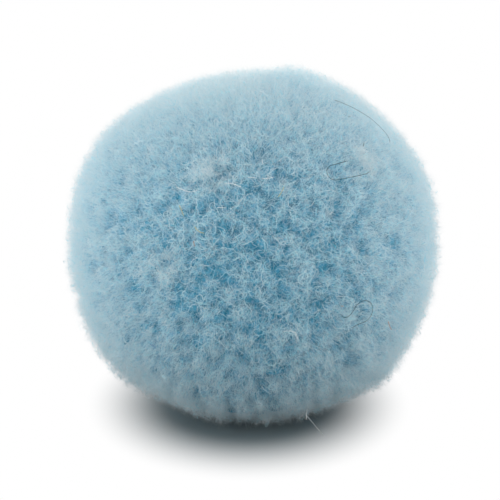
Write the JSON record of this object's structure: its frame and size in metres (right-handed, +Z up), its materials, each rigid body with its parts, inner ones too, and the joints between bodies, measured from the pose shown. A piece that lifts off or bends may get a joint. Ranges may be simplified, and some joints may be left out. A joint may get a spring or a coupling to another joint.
{
  "type": "plush pom pom",
  "caption": "Round plush pom pom of dense, short, sky-blue woolly cut pile, slightly uneven, with a small flat spot it rests on.",
  "frame": {"origin": "middle of the flat spot the ball rests on, below the middle of its bounding box", "axes": "+X along the ball's widest way, -Y its front, +Z up"},
  "size_m": [0.03, 0.0292, 0.0278],
  "materials": {
    "wool_pile": "sky-blue woolly cut pile, paler at the tips and deeper between the tufts, matt and fuzzy"
  },
  "bodies": {
    "root": {"pile_ball": "wool_pile"}
  },
  "joints": []
}
